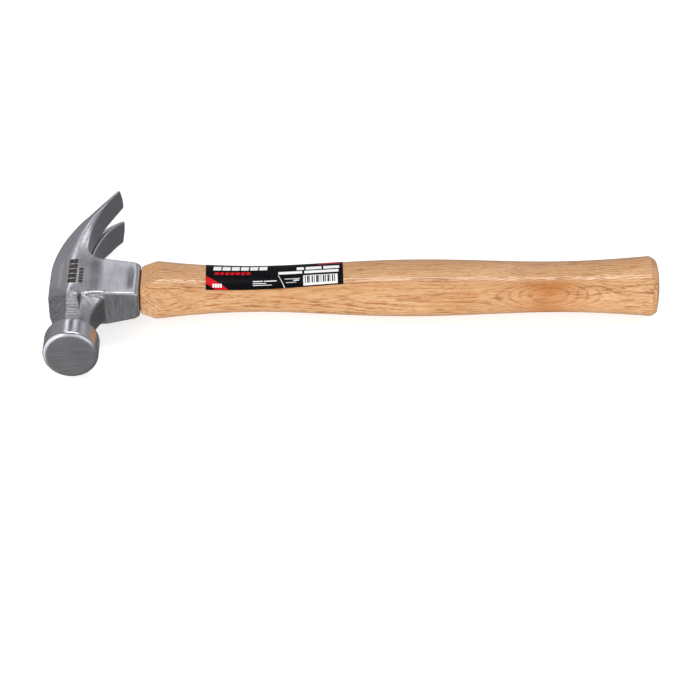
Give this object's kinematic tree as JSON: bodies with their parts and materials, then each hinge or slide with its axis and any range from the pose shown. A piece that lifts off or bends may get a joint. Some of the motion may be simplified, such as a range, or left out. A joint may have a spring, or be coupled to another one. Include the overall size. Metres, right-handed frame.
{
  "type": "claw hammer",
  "caption": "Rip claw hammer: a forged steel head with round striking face, octagonal neck and split claw, wedged on a shaped wooden handle with a paper label.",
  "frame": {"origin": "bottom centre of the bounding box, the hammer lying on its side", "axes": "+X along the handle from the head to the butt, -Y the way the striking face looks, +Y towards the claw's tips, +Z square to the cheeks"},
  "size_m": [0.3252, 0.1266, 0.0361],
  "materials": {
    "forged_steel": "satin, ground and brushed, clear lacquer",
    "handle_wood": "clear gloss lacquer on coarse-grained hardwood",
    "wedge_wood": "raw sawn end grain",
    "wedge_steel": "as stamped, dull",
    "label_paper": null
  },
  "bodies": {
    "root": {"head": "forged_steel", "handle": "handle_wood", "wood_wedge": "wedge_wood", "steel_wedge_front": "wedge_steel", "steel_wedge_rear": "wedge_steel", "label": "label_paper"}
  },
  "joints": []
}
